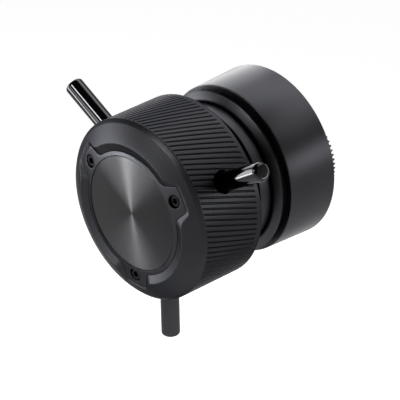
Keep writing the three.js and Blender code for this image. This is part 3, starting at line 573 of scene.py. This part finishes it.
CARRIER_BORES = [(13.8, front(13.6), 0.2), (13.8, front(8.11), 0.1), (11.6, front(8.11)), (11.6, front(1.1)),
                 (9.8, front(1.1)), (9.8, front(0.8)), (10.8, front(0.8)), (10.8, front(-6.8), 0.2)]
carrier = lathe("bearing_carrier_fine", [
    (27.4, front(0.0)), (27.4, front(3.2), 0.1), (29.0, front(3.2), 0.12), (26.3, front(4.8), 0.45),
    (25.55, front(4.8), 0.2), (25.55, front(1.4)), (16.5, front(1.4)), (16.5, front(13.6), 0.2)]
    + CARRIER_BORES + [(17.0, front(-6.8), 0.2), (17.0, front(-3.4)), (19.0, front(-3.4)), (19.0, front(0.0))])

HOUSING_R = (30.0, 30.8)
COVER_R = HOUSING_R[1] - 2.2
CAVITY_R = COVER_R - 1.4
housing = lathe("housing_fine", [
    (COVER_R, HOUSING_REAR, 0.15), (HOUSING_R[1], HOUSING_REAR, 0.45), (HOUSING_R[0], HOUSING_FRONT, 0.4),
    (19.3, HOUSING_FRONT), (19.3, front(-3.4)), (CAVITY_R, front(-3.4)), (CAVITY_R, HOUSING_REAR + 3.0),
    (COVER_R, HOUSING_REAR + 3.0)], 320)


def socket_outline(grow, centre, step=0.15):
    """The rounded outline of a USB-C socket, moved outwards by an amount."""
    half, radius = SOCKET_WIDTH / 2 + grow, SOCKET_HEIGHT / 2 + grow
    right = [np.array([half - radius, 0]) + p for p in arc(radius, -math.pi / 2, math.pi / 2, step)]
    left = [np.array([radius - half, 0]) + p for p in arc(radius, math.pi / 2, 1.5 * math.pi, step)]
    line = [np.array([half - radius - (2 * half - 2 * radius) * t, radius]) for t in np.linspace(0, 1, 16)[1:-1]]
    back = [np.array([radius - half + (2 * half - 2 * radius) * t, -radius]) for t in np.linspace(0, 1, 16)[1:-1]]
    return np.array(right + line + left + back) + np.array(centre)


STEM_R = 15.1
STEM_FLARE = 2.4
ROSETTE_THICK = 4.2
POSTS = [math.radians(a) for a in (90, 210, 330)]
POST_CIRCLE = 24.8
SOCKETS = [(7.5, 15.0), (-7.5, 15.0)]
SOCKET_WIDTH = 8.94
SOCKET_HEIGHT = 3.26
TONGUE_WIDTH = 6.7
TONGUE_HEIGHT = 0.7
COVER_THICK = 2.5


def countersink(build, centre, head, shank, sink, end, face, forward):
    """Rings of a countersunk hole, from its mouth in a face to its end."""
    circle = np.array(arc(1.0, 0, 2 * math.pi, 0.16)[:-1])
    rings = [build.ring(at_height(circle * r + centre, face + forward * s)) for r, s in (
        (head + 0.12, 0), (head, 0.1), (head, sink * 0.25), (shank, sink), (shank, end))]
    build.bridge_all(rings)
    return rings


def rear_cover():
    build = Build()
    rim = np.array(arc(COVER_R - GAP, 0, 2 * math.pi, 0.5)[:-1])
    base = edge_rings_back(build, rim, HOUSING_REAR, 0.15, False)
    foot = np.array(arc(STEM_R + STEM_FLARE, 0, 2 * math.pi, 0.5)[:-1]) + np.array([0, -AXIS_RISE])
    foot_ring = build.ring(at_height(foot, HOUSING_REAR))
    slots = [edge_rings_back(build, socket_outline(GAP, c), HOUSING_REAR, 0.2, True) for c in SOCKETS]
    sinks = [countersink(build, polar(POST_CIRCLE, a), 2.5, 1.5, 1.3, COVER_THICK, HOUSING_REAR, 1) for a in POSTS]
    build.sheet([base[0], foot_ring] + [s[0] for s in slots] + [s[0] for s in sinks],
                lambda x, z: np.full(len(x), HOUSING_REAR), 0.9, True)
    seat = build.ring(at_height(rim, HOUSING_REAR + COVER_THICK))
    build.bridge_all(base + [seat])
    ends = []
    for slot, centre in zip(slots, SOCKETS):
        end = build.ring(at_height(socket_outline(GAP, centre), HOUSING_REAR + COVER_THICK))
        build.bridge_all(slot + [end])
        ends.append(end)
    build.sheet([seat] + ends + [s[-1] for s in sinks],
                lambda x, z: np.full(len(x), HOUSING_REAR + COVER_THICK), 2.0)
    # the stem, with a fillet at its foot
    rings = [foot_ring]
    circle = np.array(arc(1.0, 0, 2 * math.pi, 0.5 / (STEM_R + STEM_FLARE))[:-1])
    for k in range(1, 9):
        a = k * math.pi / 16
        radius = STEM_R + STEM_FLARE * (1 - math.sin(a))
        station = HOUSING_REAR - STEM_FLARE * (1 - math.cos(a))
        rings.append(build.ring(at_height(circle * radius + [0, -AXIS_RISE], station)))
    for radius, station in ((STEM_R, ROSETTE_THICK + 0.2), (STEM_R - 0.2, ROSETTE_THICK)):
        rings.append(build.ring(at_height(circle * radius + [0, -AXIS_RISE], station)))
    build.bridge_all(rings)
    for radius, station in ((4.5, ROSETTE_THICK), (4.5, 9.8)):
        ring = build.ring(at_height(circle * radius + [0, -AXIS_RISE], station))
        build.bridge(rings[-1], ring)
        rings.append(ring)
    build.fan(rings[-1], (0, 9.8, -AXIS_RISE))
    return build.object("rear_cover_fine", sharp=32)


def edge_rings_back(build, outline, station, size, outwards, steps=3):
    """The same as edge_rings for a face that looks backwards."""
    rings = []
    for k in range(steps + 1):
        a = k * math.pi / 2 / steps
        loop = grown(outline, (size if outwards else -size) * (1 - math.sin(a)))
        rings.append(build.ring(at_height(loop, station + size * (1 - math.cos(a)))))
    return rings


rear = rear_cover()

TOOTH_COUNT = 60
TOOTH_DEPTH = 1.4
ROSETTE_R = 15.9
TOOTH_INNER = 9.6
LAND_DROP = 1.9


def rosette():
    """Teeth whose crests and valleys run towards the centre, round a land with a bore."""
    build = Build()
    per = 12
    count = TOOTH_COUNT * per
    a = np.arange(count) * 2 * math.pi / count
    wave = np.abs((a * TOOTH_COUNT / (2 * math.pi)) % 1.0 - 0.5) * 2
    wave = np.clip((wave - 0.06) / 0.88, 0, 1)

    def row(radius, extra=0.0):
        station = TOOTH_DEPTH * radius / ROSETTE_R * (1 - wave) + extra
        return build.ring(np.stack([radius * np.cos(a), station, radius * np.sin(a)], 1))

    rings = [build.circle(STEM_R, ROSETTE_THICK, count), build.circle(ROSETTE_R - 0.2, ROSETTE_THICK, count),
             build.circle(ROSETTE_R, ROSETTE_THICK - 0.2, count), row(ROSETTE_R, 0.12)]
    rings += [row(radius) for radius in (ROSETTE_R - 0.12, 14.3, 12.7, 11.1, TOOTH_INNER + 0.1)]
    rings += [row(TOOTH_INNER, 0.1), build.circle(TOOTH_INNER, LAND_DROP, count)]
    build.bridge_all(rings)
    back = build.circle(4.5, ROSETTE_THICK, count)
    build.bridge(back, rings[0])
    mouth = build.circle(4.6, LAND_DROP, 96)
    step = build.circle(4.5, LAND_DROP + 0.1, 96)
    sinks = [countersink(build, polar(7.0, angle), 2.2, 1.4, 1.1, ROSETTE_THICK - LAND_DROP - 0.01, LAND_DROP, 1)
             for angle in POSTS]
    build.sheet([rings[-1], mouth] + [s[0] for s in sinks], lambda x, z: np.full(len(x), LAND_DROP), 0.8, True)
    for ring in sinks:
        everything = np.concatenate(build.points)
        centre = everything[ring[-1]].mean(0)
        build.fan(ring[-1], tuple(centre))
    build.bridge_all([mouth, step, back])
    return build.object("rosette_fine", AXIS_RISE, 25)


def countersunk_screw(name, head, shank, sink, length, face, centre, drop=0.0):
    """A flat head screw that faces the rear, with a hexagon socket."""
    build = Build()
    socket = head * 0.5
    profile = [(shank, face + length), (shank, face + sink), (head, face + sink * 0.25), (head, face + 0.06),
               (head - 0.06, face), (socket * 1.16, face), (socket * 1.16, face + 0.1)]
    rings = [build.circle(r, s, 48, 0.1, centre) for r, s in profile]
    build.bridge_all(rings)
    build.fan(rings[0], (centre[0], face + length, centre[1]))
    turn = 0.1 + np.arange(48) * 2 * math.pi / 48
    wave = (turn - 0.1 + math.pi / 6) % (math.pi / 3) - math.pi / 6
    flat = socket / np.cos(wave)
    for station in (face + 0.15, face + sink * 0.8):
        ring = build.ring(np.stack([centre[0] + flat * np.cos(turn), np.full(48, station),
                                    centre[1] + flat * np.sin(turn)], 1))
        build.bridge(rings[-1], ring)
        rings.append(ring)
    build.fan(rings[-1], (centre[0], face + sink * 0.9, centre[1]))
    return build.object(name, drop, 30)


rosette_piece = rosette()
rear_screws = [countersunk_screw(f"rear_cover_screw_fine_{i + 1}", 2.2, 1.2, 1.3, 9.0, HOUSING_REAR + 0.02,
                                 polar(POST_CIRCLE, a)) for i, a in enumerate(POSTS)]
rosette_screws = [countersunk_screw(f"rosette_screw_fine_{i + 1}", 1.9, 1.1, 1.1, 7.0, LAND_DROP + 0.02,
                                    polar(7.0, a), AXIS_RISE) for i, a in enumerate(POSTS)]
INSERT_BORE = 2.5
INSERT_R = 4.2
INSERT_END = LAND_DROP + 7.6
insert = lathe("rosette_insert_fine", [(3.1, LAND_DROP), (INSERT_R, LAND_DROP, 0.1), (INSERT_R, INSERT_END, 0.1),
                                       (INSERT_BORE, INSERT_END), (INSERT_BORE, LAND_DROP)], 96, drop=AXIS_RISE)


def usb_socket(name, centre):
    """A rounded metal shell with a tongue in it, mouth to the rear."""
    build = Build()
    mouth, floor, end = HOUSING_REAR + 0.2, 23.0, 24.2
    rings = [build.ring(at_height(socket_outline(grow, centre), station)) for grow, station in (
        (0, end), (0, mouth + 0.05), (-0.05, mouth), (-0.25, mouth), (-0.3, mouth + 0.08), (-0.3, floor))]
    build.bridge_all(rings)
    build.fan(rings[0], (centre[0], end, centre[1]))
    tongue = [build.ring(at_height(box_outline(TONGUE_WIDTH + grow, TONGUE_HEIGHT + grow, centre), station))
              for grow, station in ((0, floor), (0, mouth + 1.05), (-0.1, mouth + 1.0))]
    build.sheet([rings[-1], tongue[0]], lambda x, z: np.full(len(x), floor), 0.5, True)
    build.bridge_all(tongue)
    build.fan(tongue[-1], (centre[0], mouth + 1.0, centre[1]))
    return build.object(name)


def box_outline(width, height, centre):
    x, z = width / 2, height / 2
    corners = [(x, -z), (x, z), (-x, z), (-x, -z)]
    return np.array(corners) + np.array(centre)


sockets = [usb_socket(f"usb_socket_fine_{side}", c) for side, c in zip(("left", "right"), SOCKETS)]


# Finishes

def nodes_of(material):
    material.use_nodes = True
    tree = material.node_tree
    return tree, tree.nodes["Principled BSDF"]


def surface(name, colour, metallic, roughness, speck=0.0, speck_size=900.0, bump=0.0, bump_size=2500.0,
            anisotropic=0.0, vary=0.12, edge=1.0):
    """A finish with slow changes of tone and roughness, and a fine grain in its normals.

    edge is how much of a bare metal's mirroring it keeps where it is seen at a glancing angle.
    """
    material = bpy.data.materials.new(name)
    tree, shader = nodes_of(material)
    shader.inputs["Metallic"].default_value = metallic
    shader.inputs["Anisotropic"].default_value = anisotropic
    shader.inputs["Specular Tint"].default_value = (edge, edge, edge, 1)
    place_node = tree.nodes.new("ShaderNodeTexCoord")
    slow = tree.nodes.new("ShaderNodeTexNoise")
    slow.inputs["Scale"].default_value = 90.0
    slow.inputs["Detail"].default_value = 4.0
    fine = tree.nodes.new("ShaderNodeTexNoise")
    fine.inputs["Scale"].default_value = speck_size
    fine.inputs["Detail"].default_value = 3.0
    for noise in (slow, fine):
        tree.links.new(place_node.outputs["Object"], noise.inputs["Vector"])
    tone = tree.nodes.new("ShaderNodeMixRGB")
    tone.inputs[1].default_value = tuple(c * (1 - vary) for c in colour) + (1,)
    tone.inputs[2].default_value = tuple(min(1, c * (1 + vary)) for c in colour) + (1,)
    tree.links.new(slow.outputs["Fac"], tone.inputs[0])
    grain = tree.nodes.new("ShaderNodeMixRGB")
    grain.blend_type = "MULTIPLY"
    grain.inputs[0].default_value = speck
    tree.links.new(tone.outputs[0], grain.inputs[1])
    tree.links.new(fine.outputs["Fac"], grain.inputs[2])
    tree.links.new(grain.outputs[0], shader.inputs["Base Color"])
    level = tree.nodes.new("ShaderNodeMapRange")
    level.inputs["To Min"].default_value = roughness * (1 - vary)
    level.inputs["To Max"].default_value = roughness * (1 + vary)
    tree.links.new(slow.outputs["Fac"], level.inputs["Value"])
    tree.links.new(level.outputs[0], shader.inputs["Roughness"])
    if bump:
        texture = tree.nodes.new("ShaderNodeTexNoise")
        texture.inputs["Scale"].default_value = bump_size
        texture.inputs["Detail"].default_value = 2.0
        tree.links.new(place_node.outputs["Object"], texture.inputs["Vector"])
        relief = tree.nodes.new("ShaderNodeBump")
        relief.inputs["Strength"].default_value = bump
        relief.inputs["Distance"].default_value = 0.00002
        tree.links.new(texture.outputs["Fac"], relief.inputs["Height"])
        tree.links.new(relief.outputs[0], shader.inputs["Normal"])
    return material


def turned_face(name, colour, roughness, anisotropic):
    """Metal with the fine rings that a lathe leaves, about the knob's axis."""
    material = surface(name, colour, 1.0, roughness, anisotropic=anisotropic)
    tree, shader = nodes_of(material)
    tangent = tree.nodes.new("ShaderNodeTangent")
    tangent.direction_type = "RADIAL"
    tangent.axis = "Y"
    place_node = tree.nodes.new("ShaderNodeTexCoord")
    shift = tree.nodes.new("ShaderNodeVectorMath")
    shift.operation = "SUBTRACT"
    shift.inputs[1].default_value = (0, 0, AXIS_RISE * 0.001)
    flat = tree.nodes.new("ShaderNodeVectorMath")
    flat.operation = "MULTIPLY"
    flat.inputs[1].default_value = (1, 0, 1)
    length = tree.nodes.new("ShaderNodeVectorMath")
    length.operation = "LENGTH"
    rings = tree.nodes.new("ShaderNodeTexNoise")
    rings.noise_dimensions = "1D"
    rings.inputs["Scale"].default_value = 9000.0
    rings.inputs["Detail"].default_value = 2.0
    relief = tree.nodes.new("ShaderNodeBump")
    relief.inputs["Strength"].default_value = 0.25
    relief.inputs["Distance"].default_value = 0.00001
    tree.links.new(place_node.outputs["Object"], shift.inputs[0])
    tree.links.new(shift.outputs[0], flat.inputs[0])
    tree.links.new(flat.outputs[0], length.inputs[0])
    tree.links.new(length.outputs["Value"], rings.inputs["W"])
    tree.links.new(rings.outputs["Fac"], relief.inputs["Height"])
    tree.links.new(relief.outputs[0], shader.inputs["Normal"])
    tree.links.new(tangent.outputs[0], shader.inputs["Tangent"])
    shader.inputs["Anisotropic Rotation"].default_value = 0.25
    return material


black = surface("black_anodised", (0.0245, 0.0248, 0.0272), 1.0, 0.38, bump=0.25, edge=0.4)
satin = surface("satin_anodised", (0.029, 0.0293, 0.0322), 1.0, 0.35, bump=0.2, edge=0.62)
plate = surface("black_anodised_plate", (0.0305, 0.0308, 0.034), 1.0, 0.28, bump=0.15, edge=0.4)
disc_metal = turned_face("spun_disc", (0.0205, 0.0207, 0.0222), 0.24, 1.0)
rod_metal = surface("black_chrome", (0.032, 0.0322, 0.034), 1.0, 0.08, edge=0.6)
screw_metal = surface("black_steel", (0.012, 0.012, 0.0125), 1.0, 0.42, bump=0.3, edge=0.4)
steel = surface("steel", (0.42, 0.43, 0.45), 1.0, 0.3, 0.15, bump=0.2)
dark_steel = surface("blackened_steel", (0.045, 0.045, 0.048), 1.0, 0.34, bump=0.2, edge=0.5)
brass = surface("brass", (0.55, 0.36, 0.12), 1.0, 0.32, 0.15)
nickel = surface("magnet_nickel", (0.4, 0.4, 0.42), 1.0, 0.2)
board = surface("board", (0.01, 0.08, 0.03), 0.0, 0.45, 0.3, 400.0)
chip = surface("chip", (0.012, 0.012, 0.012), 0.0, 0.6, 0.3)
rubber = surface("rubber", (0.01, 0.01, 0.01), 0.0, 0.85, 0.3, bump=0.4)
felt = surface("felt", (0.05, 0.05, 0.048), 0.0, 0.95, 0.5, bump=1.0, bump_size=1200.0)

SLOTS = {"black_anodised": black, "satin_anodised": satin, "spun_disc": disc_metal, "black_chrome": rod_metal,
         "black_steel": screw_metal, "steel": steel, "brass": brass, "magnet_nickel": nickel, "board": board,
         "chip": chip, "rubber": rubber, "felt": felt}
slot_of = {s["node"]: s["material_slot"] for s in frame["record"]["subparts"]}
for node, thing in frame["nodes"].items():
    thing.data.materials.clear()
    thing.data.materials.append(SLOTS[slot_of[node]])


def dress(piece, body, slot, *nodes, finish=None):
    """Gives a piece its finish, by default its slot's, and its place in the frame."""
    piece.data.materials.clear()
    piece.data.materials.append(finish or SLOTS[slot])
    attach(piece, body)
    if nodes:
        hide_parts(*nodes)


dress(shell, "knob", "black_anodised", "grip_shell")
dress(cover, "knob", "black_anodised", "cover_plate", finish=plate)
dress(disc_piece, "knob", "spun_disc", "face_disc")
dress(hub, "knob", "satin_anodised", "knob_hub")
for i in range(3):
    dress(cover_screws[i], "knob", "black_steel", f"cover_screw_{i + 1}")
    dress(rods[i], "knob", "black_chrome", f"finger_rod_{i + 1}")
    dress(rear_screws[i], "body", "black_steel", f"rear_cover_screw_{i + 1}")
    dress(rosette_screws[i], "body", "black_steel", f"rosette_screw_{i + 1}")
dress(carrier, "body", "satin_anodised", "bearing_carrier")
dress(housing, "body", "satin_anodised", "housing")
dress(rear, "body", "black_anodised", "rear_cover")
dress(rosette_piece, "body", "steel", "rosette", finish=dark_steel)
dress(insert, "body", "brass", "rosette_insert")
for piece, side in zip(sockets, ("left", "right")):
    dress(piece, "body", "steel", f"usb_socket_{side}")


# Camera, floor, world and lamps

axis_point = Vector((0, -HOUSING_FRONT, AXIS_RISE))
spot = axis_point + SIGHT_UNIT * (CAMERA_OFFSET[0] * RIGHT + CAMERA_OFFSET[1] * UP + CAMERA_OFFSET[2] * BACK)
camera = bpy.data.cameras.new("camera")
camera.sensor_width = SENSOR
camera.lens = FOCAL_PIXELS / FRAME_PIXELS * SENSOR
camera.clip_start = 0.05
camera.clip_end = 20
eye = bpy.data.objects.new("camera", camera)
eye.matrix_world = Matrix((RIGHT, UP, BACK)).transposed().to_4x4()
eye.location = spot * 0.001
bpy.context.scene.collection.objects.link(eye)
bpy.context.scene.camera = eye


def seen_rays(tree):
    """A value that is 1 for rays that show the background: straight, mirrored or through glass."""
    path = tree.nodes.new("ShaderNodeLightPath")
    total = path.outputs["Is Camera Ray"]
    for name in ("Is Glossy Ray", "Is Transmission Ray"):
        more = tree.nodes.new("ShaderNodeMath")
        more.operation = "ADD"
        more.use_clamp = True
        tree.links.new(total, more.inputs[0])
        tree.links.new(path.outputs[name], more.inputs[1])
        total = more.outputs[0]
    return total


def scaled(tree, value, low, high, to_low, to_high):
    """Maps a value from one range to another."""
    node = tree.nodes.new("ShaderNodeMapRange")
    for name, amount in (("From Min", low), ("From Max", high), ("To Min", to_low), ("To Max", to_high)):
        node.inputs[name].default_value = amount
    tree.links.new(value, node.inputs["Value"])
    return node.outputs[0]


def product(tree, one, other):
    node = tree.nodes.new("ShaderNodeMath")
    node.operation = "MULTIPLY"
    tree.links.new(one, node.inputs[0])
    tree.links.new(other, node.inputs[1])
    return node.outputs[0]


FLOOR_Z = -0.25
FLOOR_GLOW = 0.88  # added to what the lamps give it, for the rays that show the background
FLOOR_HALF = 3.0
WORLD_LIGHT = 0.7  # the world's strength as a light; the rays that show it see 1
floor_mesh = bpy.data.meshes.new("floor")
floor_mesh.from_pydata([(x * FLOOR_HALF, y * FLOOR_HALF, FLOOR_Z) for x, y in ((-1, -1), (1, -1), (1, 1), (-1, 1))],
                       [], [(0, 1, 2, 3)])
floor = bpy.data.objects.new("floor", floor_mesh)
bpy.context.scene.collection.objects.link(floor)
paper = bpy.data.materials.new("paper")
tree, shader = nodes_of(paper)
shader.inputs["Base Color"].default_value = (0.8, 0.8, 0.8, 1)
shader.inputs["Roughness"].default_value = 0.9
shader.inputs["Specular IOR Level"].default_value = 0.0
glow = tree.nodes.new("ShaderNodeEmission")
tree.links.new(scaled(tree, seen_rays(tree), 0, 1, 0, FLOOR_GLOW), glow.inputs["Strength"])
total = tree.nodes.new("ShaderNodeAddShader")
tree.links.new(shader.outputs[0], total.inputs[0])
tree.links.new(glow.outputs[0], total.inputs[1])
tree.links.new(total.outputs[0], tree.nodes["Material Output"].inputs["Surface"])
floor_mesh.materials.append(paper)

# The walls are white, and the ceiling above them is dark.
world = bpy.data.worlds.new("studio")
bpy.context.scene.world = world
world.use_nodes = True
tree = world.node_tree
ground = tree.nodes["Background"]
ground.inputs["Color"].default_value = (1, 1, 1, 1)
direction = tree.nodes.new("ShaderNodeSeparateXYZ")
tree.links.new(tree.nodes.new("ShaderNodeTexCoord").outputs["Generated"], direction.inputs[0])
ceiling = scaled(tree, direction.outputs["Z"], 0.05, 0.5, 1.0, 0.05)
tree.links.new(product(tree, scaled(tree, seen_rays(tree), 0, 1, WORLD_LIGHT, 1.0), ceiling), ground.inputs["Strength"])


LAMP_SPREAD = math.radians(100)  # as a grid on a softbox narrows its light


def softbox(name, azimuth, elevation, distance_m, width, height, radiance):
    """An area lamp with a grid, aimed at the object. Azimuth goes from the front (-Y) to the left (-X)."""
    lamp = bpy.data.lights.new(name, "AREA")
    lamp.shape = "RECTANGLE"
    lamp.size = width
    lamp.size_y = height
    lamp.spread = LAMP_SPREAD
    edge = math.tan(LAMP_SPREAD / 2)
    lamp.energy = radiance * math.pi * width * height * (edge - LAMP_SPREAD / 2) / edge
    thing = bpy.data.objects.new(name, lamp)
    turn, lift = math.radians(azimuth), math.radians(elevation)
    towards = Vector((-math.sin(turn) * math.cos(lift), -math.cos(turn) * math.cos(lift), math.sin(lift)))
    thing.location = Vector((0, -0.05, 0.0)) + towards * distance_m
    thing.rotation_euler = towards.to_track_quat("Z", "Y").to_euler()
    thing.visible_camera = False
    bpy.context.scene.collection.objects.link(thing)


softbox("face", 61, -1, 0.45, 0.28, 0.22, 12.0)
softbox("strip", 42, -14, 0.42, 0.035, 0.15, 31.0)
softbox("fill", 24, 3, 0.45, 0.12, 0.22, 4.0)
softbox("key", 9, 38, 0.5, 0.17, 0.07, 34.0)
softbox("left", 113, 14, 0.5, 0.46, 0.42, 9.0)
softbox("back_top", 160, 48, 0.6, 0.75, 0.36, 5.0)
softbox("back", 180, -4, 0.6, 0.45, 0.16, 5.0)
softbox("right_low", -127, 8, 0.6, 0.25, 0.15, 6.0)
softbox("right_high", -142, 42, 0.6, 0.3, 0.25, 2.3)

bpy.context.scene.view_settings.view_transform = "Standard"
